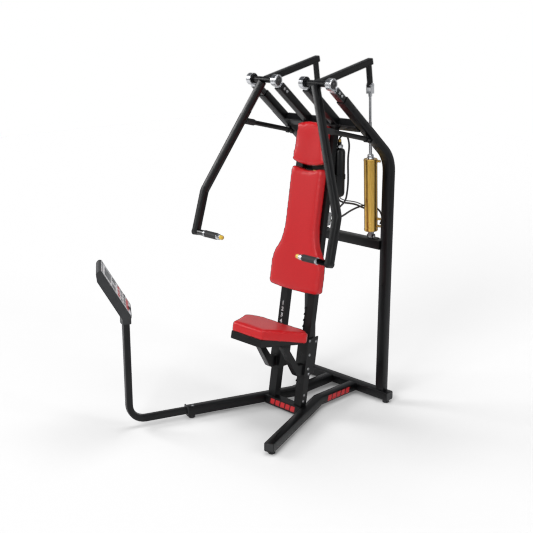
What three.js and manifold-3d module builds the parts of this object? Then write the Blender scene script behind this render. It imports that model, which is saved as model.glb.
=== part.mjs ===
// Seated chest press machine with two independent arms, each working against an air cylinder.
// Millimetres. +Z is up, the user faces -Y, and +X is the user's left.
// Every size below is measured from the machine's datum: its mid plane (x = 0), the front face
// of the rear cross beam (y = 0) and the floor (z = 0). MACHINE moves that datum into the row frame,
// whose origin is the middle of the whole footprint.
import * as THREE from 'three';
import { mergeVertices } from 'three/addons/utils/BufferGeometryUtils.js';
import Module from 'manifold-3d';

const wasm = await Module();
wasm.setup();

// ---------- driving dimensions ----------
const MACHINE = { x: 57.6, y: 707.95 };
const GAP = 0.3;
const WALL = 3.5;
const ROUND = 28;

const FOOT = { radius: 19, height: 20, rearX: 338, frontX: 332, frontY: -957 };
const BASE = { depth: 55, height: 50, halfLength: 364 };
const RAIL = { x: 97.5, width: 56, bendY: -324, splay: 20.3, legLength: 708 };
const FRONT_BEAM = { front: -532, rear: -480 };

const POST = { x: 299, y: 31.5, width: 58, depth: 46, bendRadius: 172, incline: 40, upperLength: 555 };
const STUB = { width: 46, depth: 38, start: 495, end: 640 };
const INNER_ARM = { x: 106, width: 50, depth: 46 };
const UPPER_BEAM = { start: 285, end: 335, depth: 52 };
const MID_BEAM = { bottom: 951, height: 54 };

const PIVOT = { y: -483, z: 1938, armDrop: 8, shaftRadius: 10 };
const HOUSING = { radius: 33, thickness: 30, outerX: 298, innerX: 106 };
const BARREL = { x0: 123, x1: 281, radius: 17, flange: 25, flangeLength: 6 };

const ARM = { x: 201, tilt: 14.9, forward: 11, size: 38, knee: [514, 673], end: [523, 920], bend: 70,
  capInset: 0.4 };
const HANDLE = { s: 919, arm: 500.7, ring: 442, gripOuter: 434, gripInner: 337, tip: 311 };
const GRIP = { radius: 18.5, core: 10 };
const BUTTON = { radius: 12, out: 290, length: 34 };

const LEVER = { x: 200, size: 37, angle: 13, length: 453, below: 3 };
const DROP = { size: 24, along: 435, lean: 81, pin: 133, tail: 12 };
const CYLINDER = { pivotY: 10, pivotZ: 1021, radius: 38, bottom: 36, top: 463, bore: 34, gland: 489 };
const ROD = { radius: 7.5, pistonAt: 400, pistonLength: 20, pistonRadius: 33.6 };
const FORK = { web: 838, webLength: 12, cheek: 5, halfGap: 12.5, width: 28, beyond: 14 };

const STOP = { x: 300, radius: 12.5, rearY: -140, rearZ: 1614.5, frontY: -470, slope: 12.8, bumper: 17 };
const COLUMN = { x: 106, width: 50, depth: 36.5, baseY: -509.8, recline: 9.1, topZ: 1686 };
const SLEEVE = { extra: 2, proud: 6, chamferZ: 236, topZ: 274 };
const RACK = { x0: 73, x1: 78.7, bottom: 166, pitch: 36, teeth: 14, reach: 8.5 };
const PAD = { thickness: 53, gap: 1.5 };
const PAD_PLATE = { bottom: 1422, top: 1499, thickness: 4 };

const SEAT = { tilt: 11, frontY: -824, frontZ: 557, thickness: 55, halfWidth: 119, skirt: 42, sheet: 3 };
const CARRIAGE = { bottom: 256, top: 476, front: 16, plate: 6, rear: 28, x0: 64, x1: 141 };
const TANK = { x: 116, y: -195, radius: 33, bottom: 1275, top: 1556, neck: 11, fitting: 1592,
  strapZ: 1392, strapHeight: 26 };
const VALVE = { bottom: 1122, top: 1190, depth: 34 };
const HOSE = { radius: 4, sides: 10 };

const CONSOLE_TUBE = { size: 36, lift: 3, inside: 160, reach: 343, bend: 95, top: 634 };
const CONSOLE = { x: -514, y: -1353.5, z: 822, length: 320, width: 235, thickness: 50, tilt: 60.5, heading: 54.7,
  wall: 4, boss: 48 };

// ---------- finishes ----------
const finish = (color, roughness, metalness = 0) =>
  new THREE.MeshStandardMaterial({ color, roughness, metalness });
const BLACK_PAINT = finish(0x242526, 0.45, 0.1);
const BRIGHT = finish(0xd9dbdd, 0.25, 0.9);
const STEEL = finish(0x9a9c9e, 0.35, 0.9);
const GOLD = finish(0xc39540, 0.3, 0.85);
const RED_VINYL = finish(0xc5252b, 0.5);
const BLACK_RUBBER = finish(0x151515, 0.85);
const YELLOW = finish(0xe6cf3a, 0.45);
const CONSOLE_SHELL = finish(0x202122, 0.5);

// ---------- small geometry kit ----------
const X = new THREE.Vector3(1, 0, 0);
const Y = new THREE.Vector3(0, 1, 0);
const Z = new THREE.Vector3(0, 0, 1);
const rad = THREE.MathUtils.degToRad;
const at = (x, y, z) => new THREE.Vector3(x, y, z);
const along = (start, direction, distance) => start.clone().addScaledVector(direction, distance);

/** A direction in the YZ plane, measured up from +Y, in degrees. */
const inclined = (degrees) => at(0, Math.cos(rad(degrees)), Math.sin(rad(degrees)));

function solid(geometry) {
  const bare = geometry.clone();
  bare.deleteAttribute('normal');
  bare.deleteAttribute('uv');
  const merged = mergeVertices(bare, 1e-4);
  return new wasm.Manifold(new wasm.Mesh({
    numProp: 3,
    vertProperties: Float32Array.from(merged.attributes.position.array),
    triVerts: Uint32Array.from(merged.index.array),
  }));
}

function surface(manifold) {
  const mesh = manifold.getMesh();
  const geometry = new THREE.BufferGeometry();
  geometry.setAttribute('position', new THREE.BufferAttribute(Float32Array.from(mesh.vertProperties), 3));
  geometry.setIndex(new THREE.BufferAttribute(Uint32Array.from(mesh.triVerts), 1));
  geometry.computeVertexNormals();
  return geometry;
}

const cut = (base, ...tools) =>
  surface(tools.reduce((body, tool) => body.subtract(solid(tool)), solid(base)));
const join = (...geometries) =>
  surface(geometries.map(solid).reduce((body, next) => body.add(next)));

/** Moves a geometry built on local x, y, z onto the directions u, v and u x v at an origin. */
function place(geometry, origin, u, v) {
  const w = u.clone().cross(v);
  geometry.applyMatrix4(new THREE.Matrix4().makeBasis(u, v, w).setPosition(origin));
  return geometry;
}

/** A flat outline, as [u, v] pairs or a Shape, extruded through depth and centred on its plane. */
function slab(outline, depth, origin, u, v) {
  const shape = outline instanceof THREE.Shape
    ? outline
    : new THREE.Shape(outline.map(([a, b]) => new THREE.Vector2(a, b)));
  const geometry = new THREE.ExtrudeGeometry(shape, { depth, bevelEnabled: false, curveSegments: 8 });
  geometry.translate(0, 0, -depth / 2);
  return place(geometry, origin, u, v);
}

/** An outline of [y, z] pairs extruded along X from x0 to x1. */
const slabX = (outline, x0, x1) => slab(outline, x1 - x0, at((x0 + x1) / 2, 0, 0), Y, Z);

function block(x0, x1, y0, y1, z0, z1) {
  const geometry = new THREE.BoxGeometry(x1 - x0, y1 - y0, z1 - z0);
  geometry.translate((x0 + x1) / 2, (y0 + y1) / 2, (z0 + z1) / 2);
  return geometry;
}

function roundedRectangle(width, height, radius) {
  const [a, b] = [width / 2, height / 2];
  const shape = new THREE.Shape();
  shape.moveTo(-a + radius, -b);
  shape.lineTo(a - radius, -b);
  shape.absarc(a - radius, -b + radius, radius, -Math.PI / 2, 0);
  shape.lineTo(a, b - radius);
  shape.absarc(a - radius, b - radius, radius, 0, Math.PI / 2);
  shape.lineTo(-a + radius, b);
  shape.absarc(-a + radius, b - radius, radius, Math.PI / 2, Math.PI);
  shape.lineTo(-a, -b + radius);
  shape.absarc(-a + radius, -b + radius, radius, Math.PI, 1.5 * Math.PI);
  return shape;
}

/** A straight hollow rectangular tube; side is the direction that width runs along. */
function tube(from, to, side, width, depth, wall = WALL) {
  const direction = to.clone().sub(from);
  const length = direction.length();
  direction.normalize();
  const shape = roundedRectangle(width, depth, 5);
  const hole = [[-1, -1], [-1, 1], [1, 1], [1, -1]];
  shape.holes.push(new THREE.Path(hole.map(([a, b]) =>
    new THREE.Vector2(a * (width / 2 - wall), b * (depth / 2 - wall)))));
  const geometry = new THREE.ExtrudeGeometry(shape, { depth: length, bevelEnabled: false, curveSegments: 2 });
  return place(geometry, from, side.clone(), direction.clone().cross(side));
}

/** Two straight legs a-b and b-c joined by an arc of the given radius, as 2-D points. */
function bentLine(a, b, c, radius, steps = 6) {
  const [start, corner, end] = [a, b, c].map(([p, q]) => new THREE.Vector2(p, q));
  if (radius === 0) return [start, corner, end];
  const before = start.clone().sub(corner).normalize();
  const after = end.clone().sub(corner).normalize();
  const halfAngle = Math.acos(before.dot(after)) / 2;
  const middle = before.clone().add(after).normalize();
  const centre = corner.clone().addScaledVector(middle, radius / Math.sin(halfAngle));
  const tangent = radius / Math.tan(halfAngle);
  const first = corner.clone().addScaledVector(before, tangent).sub(centre);
  const last = corner.clone().addScaledVector(after, tangent).sub(centre);
  const turn = Math.atan2(first.cross(last), first.dot(last));
  const points = [start];
  for (let i = 0; i <= steps; i += 1) {
    points.push(first.clone().rotateAround(new THREE.Vector2(), (turn * i) / steps).add(centre));
  }
  return [...points, end];
}

/** A section, as a rounded rectangle, carried along a bent 2-D line in the plane of u and v. */
function sweep(line, across, depth, radius, origin, u, v) {
  const w = u.clone().cross(v);
  const section = roundedRectangle(across, depth, radius).getPoints(1).slice(0, -1);
  const positions = [];
  line.forEach((point, i) => {
    const into = point.clone().sub(line[Math.max(i - 1, 0)]).normalize();
    const out = line[Math.min(i + 1, line.length - 1)].clone().sub(point).normalize();
    const mean = into.add(out).normalize();
    const mitre = i === 0 || i === line.length - 1 ? 1 : mean.dot(out);
    const normal = along(u.clone().multiplyScalar(-mean.y), v, mean.x);
    const centre = along(along(origin, u, point.x), v, point.y);
    section.forEach((p) => positions.push(...along(along(centre, normal, p.x / mitre), w, p.y).toArray()));
  });
  const count = section.length;
  const triangles = [];
  for (let ring = 0; ring < line.length - 1; ring += 1) {
    for (let k = 0; k < count; k += 1) {
      const [a, b] = [ring * count + k, ring * count + ((k + 1) % count)];
      triangles.push(a, b, a + count, b, b + count, a + count);
    }
  }
  const last = (line.length - 1) * count;
  for (let k = 1; k < count - 1; k += 1) {
    triangles.push(0, k + 1, k, last, last + k, last + k + 1);
  }
  const geometry = new THREE.BufferGeometry();
  geometry.setAttribute('position', new THREE.Float32BufferAttribute(positions, 3));
  geometry.setIndex(triangles);
  return geometry;
}

/** A 2-D line made longer, or shorter where an amount is negative, at its two ends. */
function extended(line, atStart, atEnd) {
  const points = line.map((p) => p.clone());
  const last = points.length - 1;
  points[0].addScaledVector(points[0].clone().sub(points[1]).normalize(), atStart);
  points[last].addScaledVector(points[last].clone().sub(points[last - 1]).normalize(), atEnd);
  return points;
}

/** A hollow tube that follows a bent 2-D line in the plane of u and v. */
function bentTube(line, across, depth, origin, u, v, startOpen = 5, endOpen = 5) {
  const outer = sweep(line, across, depth, 6, origin, u, v);
  const core = extended(line, startOpen, endOpen);
  return cut(outer, sweep(core, across - 2 * WALL, depth - 2 * WALL, 3, origin, u, v));
}

/** A solid of revolution: [radius, distance] pairs, in either order, turned about direction. */
function turned(profile, origin, direction, segments = ROUND) {
  const points = profile.map(([radius, distance]) => new THREE.Vector2(radius, distance));
  if (THREE.ShapeUtils.area(points) < 0) points.reverse();
  const geometry = new THREE.LatheGeometry(points, segments);
  geometry.applyQuaternion(new THREE.Quaternion().setFromUnitVectors(Y, direction));
  geometry.translate(origin.x, origin.y, origin.z);
  return surface(solid(geometry));
}

const rod = (origin, direction, length, radius, segments = ROUND) =>
  turned([[0, 0], [radius, 0], [radius, length], [0, length]], origin, direction, segments);

function mirrored(geometry) {
  const twin = geometry.index ? geometry.toNonIndexed() : geometry.clone();
  const flipped = mergeVertices(twin.deleteAttribute('normal').deleteAttribute('uv'), 1e-4);
  flipped.scale(-1, 1, 1);
  const index = flipped.index.array;
  for (let i = 0; i < index.length; i += 3) {
    [index[i + 1], index[i + 2]] = [index[i + 2], index[i + 1]];
  }
  flipped.computeVertexNormals();
  return flipped;
}

const machine = new THREE.Group();
machine.name = 'chest_press_machine';

function add(name, geometry, material) {
  const mesh = new THREE.Mesh(geometry, material.clone());
  mesh.name = name;
  mesh.geometry.translate(MACHINE.x, MACHINE.y, 0);
  machine.add(mesh);
}

/** Adds a left-hand part and its mirror image. */
function addPair(name, geometry, material) {
  const twin = mirrored(geometry);
  add(`${name}_left`, geometry, material);
  add(`${name}_right`, twin, material);
}

// ---------- base ----------
const BASE_BOTTOM = FOOT.height;
const BASE_TOP = FOOT.height + BASE.height;
const BASE_MID = FOOT.height + BASE.height / 2;
const legDirection = at(Math.sin(rad(RAIL.splay)), -Math.cos(rad(RAIL.splay)), 0);
const railBend = at(RAIL.x, RAIL.bendY, 0);
const legEnd = along(railBend, legDirection, RAIL.legLength);

function foot(x, y) {
  const profile = [[0, 0], [FOOT.radius - 1.5, 0], [FOOT.radius, 2], [FOOT.radius - 3, FOOT.height - GAP],
    [0, FOOT.height - GAP]];
  return turned(profile, at(x, y, 0), Z, 24);
}

function sideRail() {
  const line = bentLine([RAIL.x, -GAP], [railBend.x, railBend.y], [legEnd.x, legEnd.y], 0);
  return bentTube(line, RAIL.width, BASE.height, at(0, 0, BASE_MID), X, Y);
}

/** The front beam's ends are mitred to the inner faces of the splayed legs. */
function frontBeam() {
  const tangent = Math.tan(rad(RAIL.splay));
  const inset = RAIL.width / 2 / Math.cos(rad(RAIL.splay)) + GAP;
  const halfAt = (y) => RAIL.x + (RAIL.bendY - y) * tangent - inset;
  const { front, rear } = FRONT_BEAM;
  const outline = [[-halfAt(front), front], [halfAt(front), front], [halfAt(rear), rear], [-halfAt(rear), rear]];
  const outer = slab(outline, BASE.height, at(0, 0, BASE_MID), X, Y);
  const inner = block(-250, 250, front + WALL, rear - WALL, BASE_BOTTOM + WALL, BASE_TOP - WALL);
  return cut(outer, inner);
}

add('rear_cross_beam', tube(at(-BASE.halfLength, BASE.depth / 2, BASE_MID),
  at(BASE.halfLength, BASE.depth / 2, BASE_MID), Y, BASE.depth, BASE.height), BLACK_PAINT);
addPair('side_rail', sideRail(), BLACK_PAINT);
add('front_cross_beam', frontBeam(), BLACK_PAINT);
addPair('rear_foot', foot(FOOT.rearX, BASE.depth / 2), BLACK_RUBBER);
addPair('front_foot', foot(FOOT.frontX, FOOT.frontY), BLACK_RUBBER);

// ---------- posts and upper frame ----------
const up = inclined(180 - POST.incline);
const upNormal = at(0, Math.sin(rad(POST.incline)), Math.cos(rad(POST.incline)));
const pivot = at(0, PIVOT.y, PIVOT.z);
const upperAxis = along(pivot, upNormal, -PIVOT.armDrop);
const postY = POST.y;
/** Where the inclined centre line meets the upright's centre line. */
const bendCorner = along(upperAxis, up, (postY - upperAxis.y) / up.y);
const upperPoint = (distance, x = 0) => along(at(x, bendCorner.y, bendCorner.z), up, distance);

function post() {
  const end = upperPoint(POST.upperLength);
  const line = bentLine([postY, BASE_TOP + GAP], [bendCorner.y, bendCorner.z], [end.y, end.z], POST.bendRadius);
  return bentTube(line, POST.depth, POST.width, at(POST.x, 0, 0), Y, Z);
}

const inclinedTube = (x, from, to, width, depth) =>
  tube(upperPoint(from, x), upperPoint(to, x), X, width, depth);

const inclinedBar = (x, from, to, width, depth) =>
  place(new THREE.BoxGeometry(width, depth, to - from), upperPoint((from + to) / 2, x),
    X.clone().negate(), upNormal.clone().negate());

function upperBeam() {
  const middle = (UPPER_BEAM.start + UPPER_BEAM.end) / 2;
  const half = POST.x - POST.width / 2 - GAP;
  return tube(upperPoint(middle, -half), upperPoint(middle, half), up,
    UPPER_BEAM.end - UPPER_BEAM.start, UPPER_BEAM.depth);
}

/** The upper beam's outer shape with room around it, for trimming what is welded to it. */
function upperBeamRoom() {
  const middle = upperPoint((UPPER_BEAM.start + UPPER_BEAM.end) / 2);
  const shape = new THREE.BoxGeometry(UPPER_BEAM.end - UPPER_BEAM.start + 2 * GAP, UPPER_BEAM.depth + 2 * GAP, 600);
  return place(shape, middle, up.clone(), upNormal.clone());
}

/** Ring, with a spigot that fits inside the end of its inclined tube. */
function bearingHousing(x) {
  const ring = rod(at(x - HOUSING.thickness / 2, PIVOT.y, PIVOT.z), X, HOUSING.thickness, HOUSING.radius);
  const neck = inclinedBar(x, STUB.end + GAP, STUB.end + 24, HOUSING.thickness, STUB.depth - 2);
  const spigot = inclinedBar(x, STUB.end - 50, STUB.end + 6,
    STUB.width - 2 * WALL - 1, STUB.depth - 2 * WALL - 1);
  return cut(join(ring, neck, spigot), rod(at(x - 40, PIVOT.y, PIVOT.z), X, 80, PIVOT.shaftRadius + GAP));
}

addPair('post', post(), BLACK_PAINT);
addPair('inner_arm', inclinedTube(INNER_ARM.x, UPPER_BEAM.end + GAP, STUB.end, INNER_ARM.width, INNER_ARM.depth),
  BLACK_PAINT);
add('upper_cross_beam', upperBeam(), BLACK_PAINT);
add('mid_cross_beam', tube(at(-(POST.x - POST.width / 2 - GAP), BASE.depth / 2, MID_BEAM.bottom + MID_BEAM.height / 2),
  at(POST.x - POST.width / 2 - GAP, BASE.depth / 2, MID_BEAM.bottom + MID_BEAM.height / 2),
  Y, BASE.depth, MID_BEAM.height), BLACK_PAINT);
const stub = inclinedTube(POST.x, STUB.start, STUB.end + 1, STUB.width, STUB.depth);
addPair('outer_bearing', join(bearingHousing(HOUSING.outerX), stub,
  inclinedBar(POST.x, STUB.end - 6, STUB.end + 1, STUB.width - 6, STUB.depth - 6)), BRIGHT);
addPair('inner_bearing', bearingHousing(HOUSING.innerX), BRIGHT);

// ---------- press arms ----------
const armDown = at(0, -Math.sin(rad(ARM.tilt)), -Math.cos(rad(ARM.tilt)));
const armForward = at(0, -Math.cos(rad(ARM.tilt)), Math.sin(rad(ARM.tilt)));
const armOrigin = along(pivot, armForward, ARM.forward);
const pivotBar = (radius) => rod(at(0, PIVOT.y, PIVOT.z), X, 400, radius);

function barrel() {
  const { x0, x1, radius, flange, flangeLength } = BARREL;
  const bore = PIVOT.shaftRadius + GAP;
  const profile = [[bore, x0], [flange, x0], [flange, x0 + flangeLength], [radius, x0 + flangeLength],
    [radius, x1 - flangeLength], [flange, x1 - flangeLength], [flange, x1], [bore, x1], [bore, x0]];
  return turned(profile, at(0, PIVOT.y, PIVOT.z), X);
}

/** The arm lies in one tilted plane: it splays out to its knee, then hangs straight. */
function pressArm() {
  const start = [ARM.x, 14];
  const line = bentLine(start, ARM.knee, ARM.end, ARM.bend);
  const body = bentTube(line, ARM.size, ARM.size, armOrigin, X, armDown, 30, -24);
  const lower = along(at(ARM.end[0], armOrigin.y, armOrigin.z), armDown, ARM.end[1]);
  const half = ARM.size / 2 - ARM.capInset;
  const roundEnd = rod(along(lower, armForward, -half), armForward, 2 * half, half);
  const socket = rod(along(at(HANDLE.arm - 90, armOrigin.y, armOrigin.z), armDown, HANDLE.s), X, 90, 16 + GAP);
  return cut(join(body, roundEnd), pivotBar(BARREL.radius + GAP), socket);
}

const handleAxis = along(armOrigin, armDown, HANDLE.s);

function handleBar() {
  const { arm, ring, gripOuter, gripInner, tip } = HANDLE;
  const bore = BUTTON.radius + GAP;
  const profile = [[0, arm - GAP], [16, arm - GAP], [16, ring], [19.5, ring], [19.5, gripOuter],
    [GRIP.core, gripOuter], [GRIP.core, gripInner], [16.5, gripInner], [15, gripInner - 18],
    [11.5, tip], [bore, tip], [bore, tip + 20], [0, tip + 20]];
  return turned(profile, at(0, handleAxis.y, handleAxis.z), X);
}

function grip() {
  const [inner, outer] = [HANDLE.gripInner + GAP, HANDLE.gripOuter - GAP];
  const bore = GRIP.core + GAP;
  const profile = [[bore, inner], [GRIP.radius - 2, inner], [GRIP.radius, inner + 3],
    [GRIP.radius, outer - 3], [GRIP.radius - 2, outer], [bore, outer], [bore, inner]];
  return turned(profile, at(0, handleAxis.y, handleAxis.z), X);
}

function thumbButton() {
  const { radius, out, length } = BUTTON;
  const profile = [[0, out], [radius * 0.55, out + 0.8], [radius * 0.9, out + 3], [radius, out + 6],
    [radius, out + length], [0, out + length]];
  return turned(profile, at(0, handleAxis.y, handleAxis.z), X, 20);
}

const dropDown = inclined(-DROP.lean);

/** Lever tube with its drop tube, which hangs down from its end to the rod's open pivot. */
function lever() {
  const back = inclined(LEVER.angle);
  const square = inclined(LEVER.angle - 90);
  const origin = at(LEVER.x, PIVOT.y, PIVOT.z);
  const bar = tube(along(origin, back, 14), along(origin, back, LEVER.length), X, LEVER.size, LEVER.size);
  bar.translate(0, square.y * LEVER.below, square.z * LEVER.below);
  const top = LEVER.size / 2 - 1;
  const drop = new THREE.BoxGeometry(DROP.size, DROP.pin + DROP.tail - top, DROP.size);
  const centre = along(along(origin, back, DROP.along), dropDown, (top + DROP.pin + DROP.tail) / 2);
  place(drop, centre, X.clone(), dropDown.clone());
  return cut(join(bar, drop), pivotBar(BARREL.radius + GAP));
}

addPair('pivot_barrel', barrel(), BLACK_PAINT);
addPair('pivot_shaft', rod(at(90, PIVOT.y, PIVOT.z), X, 226, PIVOT.shaftRadius), STEEL);
addPair('press_arm', pressArm(), BLACK_PAINT);
addPair('lever', lever(), BLACK_PAINT);
addPair('handle_bar', handleBar(), BRIGHT);
addPair('handle_grip', grip(), BLACK_RUBBER);
addPair('thumb_button', thumbButton(), YELLOW);

// ---------- air cylinders ----------
const rodPin = along(along(pivot, inclined(LEVER.angle), DROP.along), dropDown, DROP.pin);
const cylinderFoot = at(0, CYLINDER.pivotY, CYLINDER.pivotZ);
const cylinderUp = rodPin.clone().sub(cylinderFoot).normalize();
const rodLength = rodPin.distanceTo(cylinderFoot);
const cylinderAcross = cylinderUp.clone().cross(X);

function cylinderBody() {
  const { radius, bottom, top, bore, gland } = CYLINDER;
  const rodBore = ROD.radius + 0.5;
  const origin = at(LEVER.x, cylinderFoot.y, cylinderFoot.z);
  const profile = [[0, bottom], [radius, bottom], [radius, top], [13, top], [13, gland], [rodBore, gland],
    [rodBore, top - 12], [bore, top - 12], [bore, bottom + 10], [0, bottom + 10]];
  const shell = turned(profile, origin, cylinderUp, 36);
  const tongue = new THREE.BoxGeometry(24, 22, bottom + 2);
  place(tongue, along(origin, cylinderUp, (bottom + 2) / 2), X.clone(), cylinderAcross.clone().negate());
  const eye = rod(along(origin, X, -12), X, 24, 11, 24);
  const hole = rod(along(origin, X, -30), X, 60, 6 + GAP, 24);
  return cut(join(shell, tongue, eye), hole);
}

/** Base plate, two cheeks and the pin that the cylinder tilts on. */
function cylinderBracket() {
  const [x, y, z] = [LEVER.x, CYLINDER.pivotY, CYLINDER.pivotZ];
  const floor = MID_BEAM.bottom + MID_BEAM.height + GAP;
  const plate = block(x - 32, x + 32, y - 9, y + 40, floor, floor + 3.7);
  const cheeks = [-1, 1].map((side) =>
    block(x + side * 15.5 - 3, x + side * 15.5 + 3, y - 9, y + 14, floor + 2, z + 12));
  return join(plate, ...cheeks, rod(at(x - 22, y, z), X, 44, 6, 24));
}

/** Piston rod, with its piston inside the cylinder and the fork that stands either side of the drop tube. */
function pistonRod() {
  const { web, webLength, cheek, halfGap, width, beyond } = FORK;
  const origin = at(LEVER.x, cylinderFoot.y, cylinderFoot.z);
  const start = ROD.pistonAt;
  const profile = [[0, start], [ROD.pistonRadius, start], [ROD.pistonRadius, start + ROD.pistonLength],
    [ROD.radius, start + ROD.pistonLength], [ROD.radius, web - 16], [11, web - 16], [11, web + 2], [0, web + 2]];
  const shaft = turned(profile, origin, cylinderUp, 24);
  const bar = (w, x, from, to) => place(new THREE.BoxGeometry(w, width, to - from),
    along(along(origin, X, x), cylinderUp, (from + to) / 2), X.clone(), cylinderAcross.clone().negate());
  const pieces = [shaft, bar(2 * (halfGap + cheek), 0, web, web + webLength)];
  [-1, 1].forEach((side) => {
    const middle = side * (halfGap + cheek / 2);
    pieces.push(bar(cheek, middle, web, rodLength));
    pieces.push(rod(along(along(origin, X, middle - cheek / 2), cylinderUp, rodLength), X, cheek, beyond, 24));
    const outside = side > 0 ? halfGap + cheek - 1 : -(halfGap + cheek + 6);
    pieces.push(rod(along(along(origin, X, outside), cylinderUp, rodLength), X, 7, 8.5, 6));
  });
  return join(...pieces);
}

addPair('cylinder', cylinderBody(), GOLD);
addPair('cylinder_bracket', cylinderBracket(), BLACK_PAINT);
addPair('piston_rod', pistonRod(), BRIGHT);

// ---------- arm stops ----------
const stopForward = inclined(180 - STOP.slope);
const stopStart = at(STOP.x, STOP.rearY, STOP.rearZ);
const stopReach = (y) => (stopStart.y - y) / Math.cos(rad(STOP.slope));
/** Distance along the stop rod to the rear face of the press arm, measured on its axis. */
const stopContact = armOrigin.clone().addScaledVector(armForward, -ARM.size / 2)
  .sub(at(0, stopStart.y, stopStart.z)).dot(armForward) / stopForward.dot(armForward);

function stopRod() {
  const bar = rod(stopStart, stopForward, stopReach(STOP.frontY), STOP.radius, 24);
  const room = place(new THREE.BoxGeometry(POST.width + 2, POST.depth + 2 * GAP, 900),
    upperPoint(200, POST.x), X.clone().negate(), upNormal.clone().negate());
  return cut(bar, room);
}

function bumper() {
  const start = stopReach(STOP.frontY) + GAP;
  const length = stopContact - start - 1;
  const profile = [[0, 0], [STOP.bumper, 0], [STOP.bumper, length - 4], [STOP.bumper - 3, length], [0, length]];
  return turned(profile, along(stopStart, stopForward, start), stopForward, 24);
}

addPair('stop_rod', stopRod(), BLACK_PAINT);
addPair('stop_bumper', bumper(), BLACK_RUBBER);

// ---------- back columns and pads ----------
const recline = Math.tan(rad(COLUMN.recline));
/** Height's y on the front face of the columns, moved back by an offset. */
const columnFront = (z, offset = 0) => COLUMN.baseY + (z - BASE_TOP) * recline + offset;
const reclined = inclined(90 - COLUMN.recline);
const reclinedNormal = at(0, -Math.cos(rad(COLUMN.recline)), Math.sin(rad(COLUMN.recline)));

/** A reclined outline between two heights and two offsets behind the columns' front face. */
const leaning = (bottom, top, front, rear) => [
  [columnFront(bottom, front), bottom], [columnFront(bottom, rear), bottom],
  [columnFront(top, rear), top], [columnFront(top, front), top],
];

function column() {
  const [x0, x1] = [COLUMN.x - COLUMN.width / 2, COLUMN.x + COLUMN.width / 2];
  const bottom = BASE_TOP + GAP;
  const { extra, proud, chamferZ, topZ } = SLEEVE;
  const outer = slabX(leaning(bottom, COLUMN.topZ, 0, COLUMN.depth), x0, x1);
  const sleeve = slabX([[columnFront(bottom, -proud), bottom], [columnFront(bottom, COLUMN.depth + extra), bottom],
    [columnFront(topZ, COLUMN.depth + extra), topZ], [columnFront(topZ, 1), topZ],
    [columnFront(chamferZ, -proud), chamferZ]], x0 - extra, x1 + extra);
  const hollow = slabX(leaning(bottom - 5, COLUMN.topZ + 5, WALL, COLUMN.depth - WALL), x0 + WALL, x1 - WALL);
  return cut(join(outer, sleeve), hollow, upperBeamRoom());
}

/** Ratchet plate beside the left column: one saw tooth for each seat height. */
function seatRack() {
  const { bottom, pitch, teeth, reach, x0, x1 } = RACK;
  const outline = [[columnFront(bottom, 22), bottom]];
  const top = bottom + pitch * teeth;
  outline.push([columnFront(top, 22), top], [columnFront(top, 3), top]);
  for (let tooth = teeth - 1; tooth >= 0; tooth -= 1) {
    const z = bottom + pitch * tooth;
    outline.push([columnFront(z + pitch * 0.55, 0), z + pitch * 0.55]);
    outline.push([columnFront(z + pitch * 0.3, -reach), z + pitch * 0.3]);
    outline.push([columnFront(z + pitch * 0.22, -reach), z + pitch * 0.22]);
    outline.push([columnFront(z + pitch * 0.2, 0), z + pitch * 0.2]);
  }
  return slabX(outline, x0, x1);
}

/** A pad's solid: half an outline of [x, height] turned into both halves, on the columns' front. */
function reclinedPad(side) {
  const right = side.map(([x, z]) => new THREE.Vector2(x, z));
  const left = side.map(([x, z]) => new THREE.Vector2(-x, z)).reverse();
  const shape = new THREE.Shape([...right, ...left]);
  const cosine = Math.cos(rad(COLUMN.recline));
  const geometry = slab(shape, PAD.thickness, at(0, 0, 0), X, Z.clone());
  const origin = at(0, columnFront(0), 0).addScaledVector(reclinedNormal, PAD.gap + PAD.thickness / 2);
  const lean = new THREE.Matrix4().makeBasis(X, reclinedNormal.clone().negate(), reclined)
    .multiply(new THREE.Matrix4().makeScale(1, 1, 1 / cosine)).setPosition(origin);
  geometry.applyMatrix4(lean);
  return geometry;
}

/** Points on a smooth curve through [x, height] pairs. */
const smooth = (pairs, steps) =>
  new THREE.SplineCurve(pairs.map(([x, z]) => new THREE.Vector2(x, z))).getPoints(steps).map((p) => [p.x, p.y]);

const BACK_SIDE = [[150, 743], [183, 751], [192, 784], [193, 874], [178, 944], [142, 1006], [125, 1074],
  [120, 1154], [120, 1364], [117, 1419], [104, 1438], [50, 1428]];
const HEAD_SIDE = [[70, 1463], [108, 1475], [119, 1494], [114, 1594], [109, 1662], [98, 1680], [50, 1690]];

add('back_pad', reclinedPad([[0, 737], ...smooth(BACK_SIDE, 30), [0, 1424]]), RED_VINYL);
add('head_pad', reclinedPad([[0, 1457], ...smooth(HEAD_SIDE, 18), [0, 1693]]), RED_VINYL);
addPair('back_column', column(), BLACK_PAINT);
add('seat_rack', seatRack(), BLACK_PAINT);
add('pad_cross_plate', slabX(leaning(PAD_PLATE.bottom, PAD_PLATE.top, COLUMN.depth + GAP,
  COLUMN.depth + GAP + PAD_PLATE.thickness), -131, 131), BLACK_PAINT);

// ---------- seat ----------
const seatBack = inclined(-SEAT.tilt);
const seatNormal = inclined(90 - SEAT.tilt);
const seatOrigin = at(0, SEAT.frontY, SEAT.frontZ);
const onSeat = (x, s, n) => along(along(at(x, seatOrigin.y, seatOrigin.z), seatBack, s), seatNormal, n);

function seatPad() {
  const outline = [[-116, 0], [116, 0], [238, 200], [250, 218], [240, 238], [178, 283], [164, 288],
    [-164, 288], [-178, 283], [-240, 238], [-250, 218], [-238, 200]];
  return slab(outline, SEAT.thickness, onSeat(0, 0, SEAT.thickness / 2), X, seatBack);
}

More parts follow.
